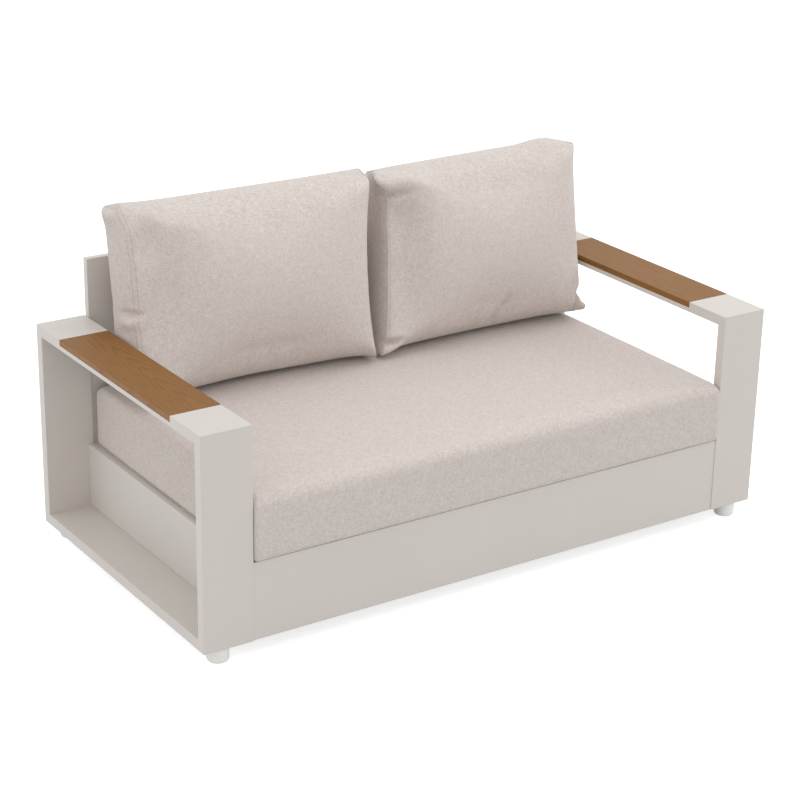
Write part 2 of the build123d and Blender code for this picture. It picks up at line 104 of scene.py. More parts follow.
def finish_nodes(material, names):
    """Gives CAD nodes their finish."""
    for name in names:
        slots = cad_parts[name].data.materials
        slots.clear()
        slots.append(material)


sides = {"left": -1, "right": 1}
coat = powder_coated_aluminium()
finish_nodes(coat, [f"{side}_{member}" for side in sides
                    for member in ("arm_top_rail", "arm_front_post", "arm_rear_post", "arm_shelf")])


# Armrest boards
# A solid hardwood board lies flush in the seat milled into each arm's top rail.
# It is planed, eased along its edges, oiled, and screwed from below.

board_light_colour = "#8E5F20"
board_dark_colour = "#623A10"
board_fibre_colour = "#7C5017"
growth_ring_width = 0.0042
late_wood_sharpness = 5.0
late_wood_strength = 0.6
ring_wander = 0.03
ring_wander_width = 1 / 9
ring_wander_length = 0.625
fibre_width = 0.0011
fibre_length = 0.055
# Each board's grain, and where the trunk's heart runs: its place across, its depth half way along, and
# how much nearer it comes with each metre towards the front
board_grains = {"left": ("arched", -0.675, 0.052, 0.05),
                "right": ("straight", 0.86, 0.06, 0.02)}


def oiled_hardwood(name, heart_x, heart_depth, heart_rise):
    """Oiled teak-like wood, plain sawn: brown growth rings round the heart, and fine short pores."""
    material = empty_material(name)
    tree = material.node_tree
    place = add_node(tree, "ShaderNodeTexCoord", {}, {})["Object"]
    stretched = add_node(tree, "ShaderNodeMapping", {}, {"Vector": place, "Scale": (
        1 / ring_wander_width, 1 / ring_wander_length, 1 / ring_wander_width)})[0]
    bend = add_node(tree, "ShaderNodeTexNoise", {}, {"Vector": stretched, "Scale": 1.0, "Detail": 2.0})["Fac"]
    axis = add_node(tree, "ShaderNodeSeparateXYZ", {}, {"Vector": place})
    side = add_node(tree, "ShaderNodeMath", {"operation": "SUBTRACT"}, {0: axis["X"], 1: heart_x})[0]
    depth = add_node(tree, "ShaderNodeMath", {"operation": "MULTIPLY_ADD"},
                     {0: axis["Y"], 1: heart_rise, 2: heart_depth})[0]
    wander = add_node(tree, "ShaderNodeMath", {"operation": "MULTIPLY_ADD"},
                      {0: bend, 1: ring_wander, 2: depth})[0]
    radius = add_node(tree, "ShaderNodeVectorMath", {"operation": "LENGTH"},
                      {0: add_node(tree, "ShaderNodeCombineXYZ", {}, {"X": side, "Y": wander})[0]})[1]
    ring = add_node(tree, "ShaderNodeMath", {"operation": "FRACT"},
                    {0: add_node(tree, "ShaderNodeMath", {"operation": "MULTIPLY"},
                                 {0: radius, 1: 1 / growth_ring_width})[0]})[0]
    late = add_node(tree, "ShaderNodeMath", {"operation": "POWER"}, {0: ring, 1: late_wood_sharpness})[0]
    fibres = add_node(tree, "ShaderNodeMapping", {}, {"Vector": place, "Scale": (
        1 / fibre_width, 1 / fibre_length, 1 / fibre_width)})[0]
    fibre = add_node(tree, "ShaderNodeTexNoise", {}, {"Vector": fibres, "Scale": 1.0, "Detail": 3.0})["Fac"]
    streak = add_node(tree, "ShaderNodeMapRange", {}, {"Value": fibre, "From Min": 0.4, "From Max": 0.75})[0]
    body = add_node(tree, "ShaderNodeMix", {"data_type": "RGBA"},
                    {0: streak, 6: linear(board_light_colour), 7: linear(board_fibre_colour)})[2]
    rings = add_node(tree, "ShaderNodeMath", {"operation": "MULTIPLY"}, {0: late, 1: late_wood_strength})[0]
    colour = add_node(tree, "ShaderNodeMix", {"data_type": "RGBA"},
                      {0: rings, 6: body, 7: linear(board_dark_colour)})[2]
    relief = add_node(tree, "ShaderNodeBump", {"invert": True},
                      {"Height": streak, "Strength": 0.25, "Distance": 0.0002})[0]
    gloss = add_node(tree, "ShaderNodeMapRange", {}, {"Value": streak, "To Min": 0.5, "To Max": 0.62})[0]
    surface = add_node(tree, "ShaderNodeBsdfPrincipled", {},
                       {"Base Color": colour, "Roughness": gloss, "IOR": 1.5, "Normal": relief})[0]
    add_node(tree, "ShaderNodeOutputMaterial", {}, {"Surface": surface})
    return material


for side, (grain, *heart) in board_grains.items():
    finish_nodes(oiled_hardwood(f"oiled_hardwood_{grain}_grain", *heart), [f"{side}_armrest_board"])


# Side walls, apron, seat frame
# Hollow planks close the frame: a side wall on each arm's shelf and an apron in front. Rails, beams
# and slats of rectangular tube carry the cushion between the arms, and all are coated alike.

finish_nodes(coat, ["left_side_wall", "right_side_wall", "front_apron", "left_seat_rail", "right_seat_rail",
                    "seat_front_rail", "seat_rear_rail", "seat_beam_1", "seat_beam_2"])
finish_nodes(coat, [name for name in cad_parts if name.startswith("seat_slat_")])


# Back
# A sheet is welded over the front of a tube frame that is bolted between the rear posts.
# The frame stays open behind, where the coat covers tubes and welds alike.

finish_nodes(coat, [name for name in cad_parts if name.startswith("back_") and "bolts" not in name]
             + ["left_back_stile", "right_back_stile"])


# Fasteners
# Bolts, board screws and foot studs are zinc-plated steel; rivet nuts and weld nuts are plated
# too, a little yellower. The bolts hold arms, seat frame and back together, and can be undone.

zinc_colour = "#C9CBCC"
insert_colour = "#C8BC9A"
plating_grain_size = 0.0015


def plated_steel(name, plating_colour):
    """Bright electroplated steel: a silvery metal, slightly cloudy."""
    material = empty_material(name)
    tree = material.node_tree
    place = add_node(tree, "ShaderNodeTexCoord", {}, {})["Object"]
    cloud = add_node(tree, "ShaderNodeTexNoise", {},
                     {"Vector": place, "Scale": 1 / plating_grain_size})["Fac"]
    gloss = add_node(tree, "ShaderNodeMapRange", {}, {"Value": cloud, "To Min": 0.25, "To Max": 0.45})[0]
    surface = add_node(tree, "ShaderNodeBsdfPrincipled", {},
                       {"Base Color": linear(plating_colour), "Metallic": 1.0, "Roughness": gloss})[0]
    add_node(tree, "ShaderNodeOutputMaterial", {}, {"Surface": surface})
    return material


foot_places = [f"{end}_{side}" for end in ("front", "rear") for side in sides]
finish_nodes(plated_steel("zinc_plated_steel", zinc_colour),
             ["board_screws", "seat_to_arm_bolts", "back_to_arm_bolts", "back_to_seat_bolts"]
             + [f"{place}_foot_stud" for place in foot_places])
finish_nodes(plated_steel("yellow_passivated_steel", insert_colour),
             ["side_wall_rivet_nuts", "rear_post_rivet_nuts", "seat_rail_rivet_nuts", "foot_weld_nuts"])


# Feet
# Each foot is a glide of white moulded plastic on a steel stud, turned to level the seat.
# Its lower edge is rounded, so that it slides over paving without catching.

foot_colour = "#F2F2EF"
foot_lower_round = 0.0075
foot_upper_round = 0.002
foot_taper = 0.0008
foot_flat_share = 0.3
foot_round_steps = 9
foot_turn_steps = 72
moulding_texture_size = 0.0025


def moulded_plastic():
    """Injection-moulded polypropylene: plain white, glossy, with a faint moulding texture."""
    material = empty_material("glossy_white_polypropylene")
    tree = material.node_tree
    place = add_node(tree, "ShaderNodeTexCoord", {}, {})["Object"]
    cloud = add_node(tree, "ShaderNodeTexNoise", {},
                     {"Vector": place, "Scale": 1 / moulding_texture_size})["Fac"]
    gloss = add_node(tree, "ShaderNodeMapRange", {}, {"Value": cloud, "To Min": 0.2, "To Max": 0.3})[0]
    surface = add_node(tree, "ShaderNodeBsdfPrincipled", {},
                       {"Base Color": linear(foot_colour), "Roughness": gloss, "IOR": 1.49})[0]
    add_node(tree, "ShaderNodeOutputMaterial", {}, {"Surface": surface})
    return material


def mesh_piece(name, points, faces):
    """A smooth-shaded mesh object in the scene."""
    mesh = bpy.data.meshes.new(name)
    mesh.from_pydata(points, [], faces)
    mesh.shade_smooth()
    piece = bpy.data.objects.new(name, mesh)
    scene.collection.objects.link(piece)
    return piece


def quarter_turn(steps):
    """Angles of a quarter turn in even steps, both ends taken."""
    return np.linspace(0, math.pi / 2, steps + 1)


def foot_profile(radius, height):
    """Radius and height of a glide's outline, from inside its flat pad up to inside its flat top."""
    lower = [(radius - foot_lower_round * (1 - math.sin(turn)), foot_lower_round * (1 - math.cos(turn)))
             for turn in quarter_turn(foot_round_steps)]
    shoulder = radius - foot_taper
    upper = [(shoulder - foot_upper_round * (1 - math.cos(turn)),
              height - foot_upper_round * (1 - math.sin(turn))) for turn in quarter_turn(foot_round_steps)]
    return [(foot_flat_share * radius, 0.0)] + lower + upper + [(foot_flat_share * radius, height)]


def turned(name, profile, middle_x, middle_y, base):
    """A solid of revolution about an upright axis."""
    points, faces = [], []
    for step in range(foot_turn_steps):
        angle = 2 * math.pi * step / foot_turn_steps
        points += [(middle_x + radius * math.cos(angle), middle_y + radius * math.sin(angle), base + height)
                   for radius, height in profile]
    count = len(profile)
    for step in range(foot_turn_steps):
        here, there = step * count, (step + 1) % foot_turn_steps * count
        faces += [(here + row, there + row, there + row + 1, here + row + 1) for row in range(count - 1)]
    faces += [[step * count for step in reversed(range(foot_turn_steps))],
              [step * count + count - 1 for step in range(foot_turn_steps)]]
    return mesh_piece(name, points, faces)


plastic = moulded_plastic()
for place in foot_places:
    low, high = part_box(f"{place}_foot")
    foot = turned(f"{place}_foot_glide", foot_profile((high.x - low.x) / 2, high.z - low.z),
                  (low.x + high.x) / 2, (low.y + high.y) / 2, low.z)
    foot.data.materials.append(plastic)
    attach(foot, f"{place}_foot_leveller")
    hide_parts(f"{place}_foot")


# Seat cushion
# One thick foam slab in a zipped cover of woven olefin cloth, heathered beige and grey.
# The cover runs over its rounded shoulders in one piece and is sewn to the bottom panel below.

seat_cell = 0.0135
seat_foot_round = 0.010
seat_foot_steps = 3
seat_wall_steps = 5
seat_shoulder_round = 0.025
seat_shoulder_steps = 5
seat_end_narrowing = 0.5
seat_crown = 0.007
seat_crown_powers = (8, 1)
seat_corner_round = 0.010
seat_side_draws = (-0.003, -0.001)
seat_corner_stand = {"front": 0.006, "rear": 0.001}
seat_corner_reach = 0.016
seat_side_bulge = 0.005
seat_front_bulge = 0.004
rear_post_margin = 0.004
seat_filling = {"reach": 0.004, "pressure": 3.0, "slack": 0.004, "yields": (0.6, 0.6, 1)}
# How stiff the cloth of every cover is, and how long it takes to fill
cloth_stretch_stiffness = 20
cloth_shear_stiffness = 8
cloth_bending_stiffness = 0.6
filling_frames = 20
# The weave, the seams and their topstitching
fabric_light_colour = "#E2D9D3"
fabric_dark_colour = "#C3B9B2"
thread_spacing = 0.0017
slub_length = 0.010
seam_ridge_width = 0.0035
topstitch_distance = 0.006
thread_colour = "#9A8878"
thread_cover = 0.4
stitch_length = 0.005
stitch_width = 0.0011
stitch_share = 0.8
# Where each yarn's slubs lie in one noise: the step from a yarn to the next, and the two yarns' layers
yarn_step = 2.371
warp_layer = 0.4
weft_layer = 5.7
# The distance from a seam where there is none, and how far a panel's weave is shifted from the boxing's
no_seam = 1.0
panel_offset = 3
# The least length that is divided by
least_length = 1e-9


def woven_yarns(tree):
    """The colour of the crossing yarns, each flecked in its own places, and their knuckles.

    Threads are drawn a little coarser than the real ones, so that the weave shows at a distance.
    """
    threads = add_node(tree, "ShaderNodeVectorMath", {"operation": "SCALE"}, {
        0: add_node(tree, "ShaderNodeAttribute", {"attribute_name": "cloth"}, {})["Vector"],
        "Scale": 1 / thread_spacing})[0]
    across, along, _ = add_node(tree, "ShaderNodeSeparateXYZ", {}, {0: threads})
    number = add_node(tree, "ShaderNodeVectorMath", {"operation": "FLOOR"}, {0: threads})[0]
    warp, weft, _ = add_node(tree, "ShaderNodeSeparateXYZ", {}, {0: number})
    yarn_tones = []
    for thread, run, layer in ((warp, along, warp_layer), (weft, across, weft_layer)):
        apart = add_node(tree, "ShaderNodeMath", {"operation": "MULTIPLY"}, {0: thread, 1: yarn_step})[0]
        slub = add_node(tree, "ShaderNodeMath", {"operation": "MULTIPLY"},
                        {0: run, 1: thread_spacing / slub_length})[0]
        spot = add_node(tree, "ShaderNodeCombineXYZ", {}, {"X": apart, "Y": slub, "Z": layer})[0]
        yarn_tones.append(add_node(tree, "ShaderNodeTexNoise", {}, {"Vector": spot, "Scale": 1.0})["Fac"])
    crossing = add_node(tree, "ShaderNodeMath", {"operation": "PINGPONG"}, {
        0: add_node(tree, "ShaderNodeMath", {"operation": "ADD"}, {0: warp, 1: weft})[0], 1: 1.0})[0]
    tone = add_node(tree, "ShaderNodeMix", {}, {0: crossing, 2: yarn_tones[0], 3: yarn_tones[1]})[0]
    light = add_node(tree, "ShaderNodeMapRange", {}, {"Value": tone, "From Min": 0.3, "From Max": 0.7})[0]
    flecked = add_node(tree, "ShaderNodeMix", {"data_type": "RGBA"},
                       {0: light, 6: linear(fabric_dark_colour), 7: linear(fabric_light_colour)})[2]
    waves = [add_node(tree, "ShaderNodeMath", {"operation": "SINE"}, {
        0: add_node(tree, "ShaderNodeMath", {"operation": "MULTIPLY"}, {0: value, 1: math.pi})[0]})[0]
        for value in (across, along)]
    knuckle = add_node(tree, "ShaderNodeMath", {"operation": "ABSOLUTE"}, {
        0: add_node(tree, "ShaderNodeMath", {"operation": "MULTIPLY"}, {0: waves[0], 1: waves[1]})[0]})[0]
    return flecked, knuckle


def sewn_lines(tree):
    """The ridge along a seam, and the stitches of the topstitching beside it."""
    run, apart, _ = add_node(tree, "ShaderNodeSeparateXYZ", {}, {
        0: add_node(tree, "ShaderNodeAttribute", {"attribute_name": "sewn"}, {})["Vector"]})
    ridge = add_node(tree, "ShaderNodeMapRange", {"interpolation_type": "SMOOTHSTEP"},
                     {"Value": apart, "From Min": seam_ridge_width, "From Max": 0.0})[0]
    off_line = add_node(tree, "ShaderNodeMath", {"operation": "ABSOLUTE"}, {
        0: add_node(tree, "ShaderNodeMath", {"operation": "SUBTRACT"},
                    {0: apart, 1: topstitch_distance})[0]})[0]
    line = add_node(tree, "ShaderNodeMapRange", {"interpolation_type": "SMOOTHSTEP"},
                    {"Value": off_line, "From Min": stitch_width, "From Max": stitch_width / 4})[0]
    beat = add_node(tree, "ShaderNodeMath", {"operation": "FRACT"}, {
        0: add_node(tree, "ShaderNodeMath", {"operation": "DIVIDE"}, {0: run, 1: stitch_length})[0]})[0]
    dash = add_node(tree, "ShaderNodeMath", {"operation": "LESS_THAN"}, {0: beat, 1: stitch_share})[0]
    stitch = add_node(tree, "ShaderNodeMath", {"operation": "MULTIPLY"}, {0: line, 1: dash})[0]
    return ridge, stitch


def woven_olefin():
    """Woven olefin cloth, plain weave of heathered yarns: matt, softly flecked, with sewn seams."""
    material = empty_material("woven_olefin_heathered_beige")
    tree = material.node_tree
    flecked, knuckle = woven_yarns(tree)
    ridge, stitch = sewn_lines(tree)
    thread_shade = add_node(tree, "ShaderNodeMath", {"operation": "MULTIPLY"},
                            {0: stitch, 1: thread_cover})[0]
    colour = add_node(tree, "ShaderNodeMix", {"data_type": "RGBA"},
                      {0: thread_shade, 6: flecked, 7: linear(thread_colour)})[2]
    weave = add_node(tree, "ShaderNodeBump", {}, {"Height": knuckle, "Strength": 0.35, "Distance": 0.0004})[0]
    height = add_node(tree, "ShaderNodeMath", {"operation": "SUBTRACT"}, {0: ridge, 1: stitch})[0]
    sewn = add_node(tree, "ShaderNodeBump", {}, {"Height": height, "Strength": 0.6, "Distance": 0.0012,
                                                 "Normal": weave})[0]
    surface = add_node(tree, "ShaderNodeBsdfPrincipled", {}, {
        "Base Color": colour, "Roughness": 0.9, "IOR": 1.46, "Normal": sewn, "Sheen Weight": 0.15,
        "Sheen Roughness": 0.5, "Specular IOR Level": 0.3})[0]
    add_node(tree, "ShaderNodeOutputMaterial", {}, {"Surface": surface})
    return material


def rounded_outline(u, v, half_width, half_height, corner, draws):
    """Places across and along of grid points in a rectangle with round corners and drawn sides."""
    reach = np.maximum(abs(u), abs(v))
    x, y = abs(u) * half_width, abs(v) * half_height
    over_x, over_y = x - reach * (half_width - corner), y - reach * (half_height - corner)
    bent = (over_x > 0) & (over_y > 0)
    slant = np.maximum(np.hypot(over_x, over_y), least_length)
    shrink = np.where(bent, np.maximum(over_x, over_y) / slant, 1)
    x = np.where(bent, x - over_x * (1 - shrink), x) - draws[0] * abs(u) * (1 - v ** 2)
    y = np.where(bent, y - over_y * (1 - shrink), y) - draws[1] * abs(v) * (1 - u ** 2)
    return np.sign(u) * x, np.sign(v) * y


def panel_quads(panel, facing, flat_x, flat_y, seam):
    """A panel's faces, and the places on the cut cloth and along the seam of each face's corners."""
    columns, rows = panel.shape[0] - 1, panel.shape[1] - 1
    half_width, half_height = flat_x.max(), flat_y.max()
    faces, cloth, sewn = [], [], []
    for i in range(columns):
        for j in range(rows):
            ring = [(i, j), (i + 1, j), (i + 1, j + 1), (i, j + 1)][::facing]
            faces.append([panel[place] for place in ring])
            middle = np.mean([(flat_x[place], flat_y[place]) for place in ring], axis=0)
            beside = half_width - abs(middle[0]) < half_height - abs(middle[1])
            for place in ring:
                x, y = flat_x[place], flat_y[place]
                edge = min(half_width - abs(x), half_height - abs(y)) if seam else no_seam
                cloth.append((x + panel_offset * facing, y, 0))
                sewn.append((y if beside else x, edge, 0))
    return faces, cloth, sewn


def boxing_quads(lines, run_steps, climb_steps, seams):
    """The same for the boxing strip, whose steps are lengths of cloth round it and up it."""
    runs, climbs = np.cumsum([0] + run_steps), np.cumsum([0] + climb_steps)
    faces, cloth, sewn = [], [], []
    for row in range(len(climb_steps)):
        for step in range(len(run_steps)):
            after = (step + 1) % len(run_steps)
            faces.append([lines[row][step], lines[row][after], lines[row + 1][after], lines[row + 1][step]])
            for run, climb in ((runs[step], climbs[row]), (runs[step + 1], climbs[row]),
                               (runs[step + 1], climbs[row + 1]), (runs[step], climbs[row + 1])):
                edge = min(climb if seams[0] else no_seam, climbs[-1] - climb if seams[1] else no_seam)
                cloth.append((run, climb, 0))
                sewn.append((run, edge, 0))
    return faces, cloth, sewn


def sewn_cover(name, width, height, rings, domes, dome_powers, corner, draws, cell, seams, narrowing=1):
    """A closed cover: two panels joined by a boxing strip, in quads of about one cell.

    rings are the level and inset of each line of the boxing, from the lower panel's edge to the
    upper panel's; narrowing is the share of an inset that is taken across. seams says which of those
    two edges is sewn. domes are the two panels' bulges, and dome_powers shape them; corner rounds the
    outline, and draws pull the middles of its sides in, or out where they are below zero. Two
    attributes lie flat on the cut cloth: "cloth" measures the weave, and "sewn" the run along a seam
    and the distance from it.
    """
    columns, rows = round(width / cell), round(height / cell)
    u, v = np.meshgrid(np.linspace(-1, 1, columns + 1), np.linspace(-1, 1, rows + 1), indexing="ij")
    power, sharpness = dome_powers
    dome = ((1 - abs(u) ** power) * (1 - abs(v) ** power)).clip(0) ** sharpness
    points, panels = [], []
    for (level, inset), rise in zip((rings[0], rings[-1]), (-domes[0], domes[1])):
        x, y = rounded_outline(u, v, width / 2 - narrowing * inset, height / 2 - inset, corner, draws)
        panels.append(np.arange(u.size).reshape(u.shape) + len(points))
        points += np.stack([x, y, level + rise * dome], -1).reshape(-1, 3).tolist()

    rim = ([(i, 0) for i in range(columns)] + [(columns, j) for j in range(rows)]
           + [(i, rows) for i in range(columns, 0, -1)] + [(0, j) for j in range(rows, 0, -1)])
    on_rim = tuple(np.array(rim).T)
    lines = [panels[0][on_rim]]
    for level, inset in rings[1:-1]:
        x, y = rounded_outline(u[on_rim], v[on_rim], width / 2 - narrowing * inset, height / 2 - inset,
                               corner, draws)
        lines.append(np.arange(len(rim)) + len(points))
        points += np.stack([x, y, np.full(len(rim), level)], -1).tolist()
    lines.append(panels[1][on_rim])

    run_steps = [height / rows if a[0] == b[0] else width / columns for a, b in zip(rim, rim[1:] + rim[:1])]
    climb_steps = [math.hypot(b[0] - a[0], b[1] - a[1]) for a, b in zip(rings, rings[1:])]
    parts = [panel_quads(panel, facing, u * width / 2, v * height / 2, seam)
             for panel, facing, seam in zip(panels, (-1, 1), seams)]
    parts.append(boxing_quads(lines, run_steps, climb_steps, seams))
    faces, cloth, sewn = [sum(values, []) for values in zip(*parts)]
    piece = mesh_piece(name, points, faces)
    for label, values in (("cloth", cloth), ("sewn", sewn)):
        layer = piece.data.attributes.new(label, "FLOAT_VECTOR", "CORNER")
        layer.data.foreach_set("vector", np.array(values, np.float32).ravel())
    return piece


def read_points(mesh):
    """A mesh's points as an array."""
    flat = np.empty(len(mesh.vertices) * 3, np.float32)
    mesh.vertices.foreach_get("co", flat)
    return flat.reshape(-1, 3).astype(float)


def write_points(mesh, points):
    """Moves a mesh's points."""
    mesh.vertices.foreach_set("co", points.astype(np.float32).ravel())
    mesh.update()


def swell(piece, reach, pressure, slack, yields):
    """Fills a cover by cloth simulation. slack is the share by which the cloth is cut too large.

    yields is how far the form gives way along each axis, as a share of the simulated move. A point
    ends at most reach from where it starts, so that the cushion keeps its room.
    """
    start = read_points(piece.data)
    filling = piece.modifiers.new("filling", "CLOTH")
    cloth = filling.settings
    cloth.use_pressure = True
    cloth.uniform_pressure_force = pressure
    cloth.shrink_min = -slack
    cloth.tension_stiffness = cloth.compression_stiffness = cloth_stretch_stiffness
    cloth.shear_stiffness = cloth_shear_stiffness
    cloth.bending_stiffness = cloth_bending_stiffness
    cloth.effector_weights.gravity = 0
    filling.point_cache.frame_start, filling.point_cache.frame_end = 1, filling_frames
    for number in range(1, filling_frames + 1):
        scene.frame_set(number)
    filled = piece.evaluated_get(bpy.context.evaluated_depsgraph_get())
    moved = read_points(filled.to_mesh()) - start
    filled.to_mesh_clear()
    piece.modifiers.remove(filling)
    scene.frame_set(1)
    moved = (moved - moved.mean(axis=0)) * yields
    length = np.linalg.norm(moved, axis=1, keepdims=True).clip(least_length)
    write_points(piece.data, start + moved / length * reach * np.tanh(length / reach))


def smooth_over(piece):
    """Halves the quads of a cover into a smooth surface, and keeps that as its mesh."""
    finer = piece.modifiers.new("finer", "SUBSURF")
    finer.levels = finer.render_levels = 1
    mesh = bpy.data.meshes.new_from_object(piece.evaluated_get(bpy.context.evaluated_depsgraph_get()))
    piece.modifiers.remove(finer)
    piece.data = mesh
    mesh.shade_smooth()


fabric = woven_olefin()
seat_low, seat_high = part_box("seat_cushion_cover")
seat_size = seat_high - seat_low
boxing_top = seat_size.z - seat_crown - seat_shoulder_round
seat_rings = [(seat_foot_round * (1 - math.cos(turn)), seat_foot_round * (1 - math.sin(turn)))
              for turn in quarter_turn(seat_foot_steps)]
seat_rings += [(seat_foot_round + (boxing_top - seat_foot_round) * (step / seat_wall_steps), 0)
               for step in range(1, seat_wall_steps)]
seat_rings += [(boxing_top + seat_shoulder_round * math.sin(turn),
                seat_shoulder_round * (1 - math.cos(turn))) for turn in quarter_turn(seat_shoulder_steps)]
seat_cushion = sewn_cover("seat_cushion", seat_size.x, seat_size.y, seat_rings, (0, seat_crown),
                          seat_crown_powers, seat_corner_round, seat_side_draws, seat_cell,
                          (True, False), seat_end_narrowing)
swell(seat_cushion, **seat_filling)
smooth_over(seat_cushion)
seat_points = read_points(seat_cushion.data)
seat_points += ((seat_low.x + seat_high.x) / 2, (seat_low.y + seat_high.y) / 2, seat_low.z)
# Its front corners stand out square and its rear ones hardly do; it fills the room between the posts,
# and bulges forward and where the arms are open
for end, back in (("front", seat_low.y), ("rear", seat_high.y)):
    stand = seat_corner_stand[end]
    for across in (seat_low.x, seat_high.x):
        apart = ((seat_points[:, :2] - (across, back)) ** 2).sum(axis=1, keepdims=True)
        outward = (math.copysign(stand, across), math.copysign(stand, back))
        seat_points[:, :2] += np.exp(-apart / seat_corner_reach ** 2) * outward
post_front, post_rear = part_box("left_arm_front_post")[1].y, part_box("left_arm_rear_post")[0].y
beside_post = (seat_points[:, 1] < post_front) | (seat_points[:, 1] > post_rear - rear_post_margin)
reach = np.where(beside_post, seat_high.x, seat_high.x + seat_side_bulge)
seat_points[:, 0] = seat_points[:, 0].clip(-reach, reach)
seat_points[:, 1] = seat_points[:, 1].clip(seat_low.y - seat_front_bulge, seat_high.y)
seat_points[:, 2] = seat_points[:, 2].clip(seat_low.z, seat_high.z)
write_points(seat_cushion.data, seat_points)
seat_cushion.data.materials.append(fabric)
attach(seat_cushion, "seat_cushion")
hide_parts("seat_cushion_cover", "seat_cushion_core")


# Back cushions
# Two loose cushions, filled with fibre, lean on the back panel. One cloth runs over front, top,
# back and foot; a narrow cap closes each end, its seam topstitched, its corners standing as ears.

back_cell = 0.0095
back_width = 0.616
back_height = 0.455
back_cap_depth = 0.125
back_cap_corner = 0.012
back_cap_domes = {"left": (0.013, 0.006), "right": (0.006, 0.013)}
back_cap_powers = (2.5, 0.8)
front_crown = 0.060
rear_crown = 0.050
front_round = 0.62
rear_round = 0.5
end_fall = 2.2
end_taper = 0.6
front_left_taper = 1.2
back_filling = {"reach": 0.008, "pressure": 4.0, "slack": 0.01, "yields": (1, 0.7, 0.3)}
back_lean = math.radians(9)
back_foot_y = 0.190
back_clearance = 0.001
# Where each end's seam stands across, at the foot, half way up and at the top; how much higher the
# top's middle and its two ends stand than the cut
back_ends = {"left": ((-0.624, -0.611, -0.613), (0.006, -0.002, 0.026)),
             "right": ((0.020, 0.057, 0.070), (0.622, 0.613, 0.621))}
back_tops = {"left": (0.002, 0.002, -0.002), "right": (0.006, -0.012, -0.006)}
# How far above the middle each belly stands out most, as a share of half the height
belly_rises = {"left": 0.12, "right": 0}
# Ears, folds and creases: the place across, up from the foot and behind the middle, the move there,
# and how far it reaches each way
back_folds = {
    "left": {"back on the panel": ((-0.300, 0.200, 0.110), (0, 0, 0.026), (0.200, 0.110, 0.08)),
             "left ear, front": ((-0.613, 0.455, -0.0625), (0, 0, 0.045), (0.05, 0.045, 0.05)),
             "left ear, outer side": ((-0.624, 0.430, 0.030), (-0.010, 0, 0), (0.03, 0.020, 0.06)),
             "left ear, rounded corner": ((-0.622, 0.462, 0.040), (0.014, -0.012, 0), (0.020, 0.020, 0.06)),
             "hollow below the left ear": ((-0.572, 0.370, -0.060), (0, 0, 0.018), (0.030, 0.045, 0.05)),
             "hollow along the left end": ((-0.540, 0.220, -0.085), (0, 0, 0.026), (0.065, 0.180, 0.07)),
             "pinch in the left end": ((-0.607, 0.212, -0.040), (0.012, 0, 0), (0.04, 0.007, 0.040)),
             "roll under the pinch": ((-0.607, 0.190, -0.035), (-0.006, 0, 0), (0.04, 0.012, 0.040)),
             "rounded left foot": ((-0.630, 0, 0), (0.028, 0.013, 0), (0.05, 0.055, 0.12)),
             "raised foot": ((-0.330, 0, -0.030), (0, 0.006, 0), (0.150, 0.060, 0.08)),
             "dent at the foot": ((-0.200, 0.040, -0.070), (0, 0, 0.008), (0.022, 0.030, 0.04)),
             "right ear, front": ((0.026, 0.455, -0.0625), (0, -0.012, 0.020), (0.05, 0.025, 0.04)),
             "right ear, rear": ((0.026, 0.455, 0.0625), (0.010, -0.008, -0.035), (0.05, 0.04, 0.05))},
    "right": {"back on the panel": ((0.330, 0.200, 0.110), (0, 0, 0.026), (0.200, 0.110, 0.08)),
              "right ear, rear": ((0.621, 0.455, 0.0625), (0, -0.006, -0.03), (0.04, 0.03, 0.05)),
              "right ear, front": ((0.624, 0.455, -0.030), (0, -0.010, 0), (0.030, 0.03, 0.10)),
              "rise beside the right ear": ((0.555, 0.455, -0.020), (0, 0.007, 0), (0.045, 0.05, 0.10)),
              "right foot ear": ((0.622, 0.010, -0.0625), (0.008, 0.014, -0.006), (0.03, 0.020, 0.05)),
              "notch above it": ((0.615, 0.062, -0.055), (-0.006, 0, 0.004), (0.03, 0.014, 0.04)),
              "crease beside it": ((0.594, 0.040, -0.072), (0, 0, 0.026), (0.010, 0.030, 0.04)),
              "roll beside the crease": ((0.574, 0.052, -0.080), (0, 0, -0.005), (0.010, 0.024, 0.04)),
              "crease at the foot": ((0.352, 0.034, -0.085), (0, 0, 0.022), (0.010, 0.022, 0.05)),
              "its upper end": ((0.372, 0.068, -0.095), (0, 0, 0.018), (0.010, 0.022, 0.05)),
              "left ear": ((0.066, 0.455, -0.0625), (-0.020, -0.004, 0.045), (0.04, 0.035, 0.05)),
              "left ear, rear": ((0.070, 0.455, 0.0625), (0.006, -0.008, -0.015), (0.04, 0.04, 0.05)),
              "lump of the left ear": ((0.070, 0.418, -0.058), (-0.024, 0, 0), (0.034, 0.024, 0.05)),
              "roll over the fold": ((0.100, 0.410, -0.065), (0, 0, -0.007), (0.04, 0.016, 0.05)),
              "fold under the left ear": ((0.080, 0.382, -0.068), (0.003, 0, 0.022), (0.034, 0.007, 0.05)),
              "hollow under the fold": ((0.104, 0.325, -0.075), (0, 0, 0.026), (0.036, 0.050, 0.06)),
              "hollow along the left end": ((0.100, 0.200, -0.080), (0, 0, 0.032), (0.048, 0.170, 0.06)),
              "left foot ear": ((0.020, 0.008, -0.0625), (-0.006, 0.004, -0.004), (0.020, 0.018, 0.04)),
              "pinch at the left foot": ((0.046, 0.034, -0.068), (0, 0, 0.022), (0.022, 0.007, 0.04)),
              "roll over the pinch": ((0.050, 0.052, -0.070), (0, 0, -0.004), (0.022, 0.010, 0.04))}}


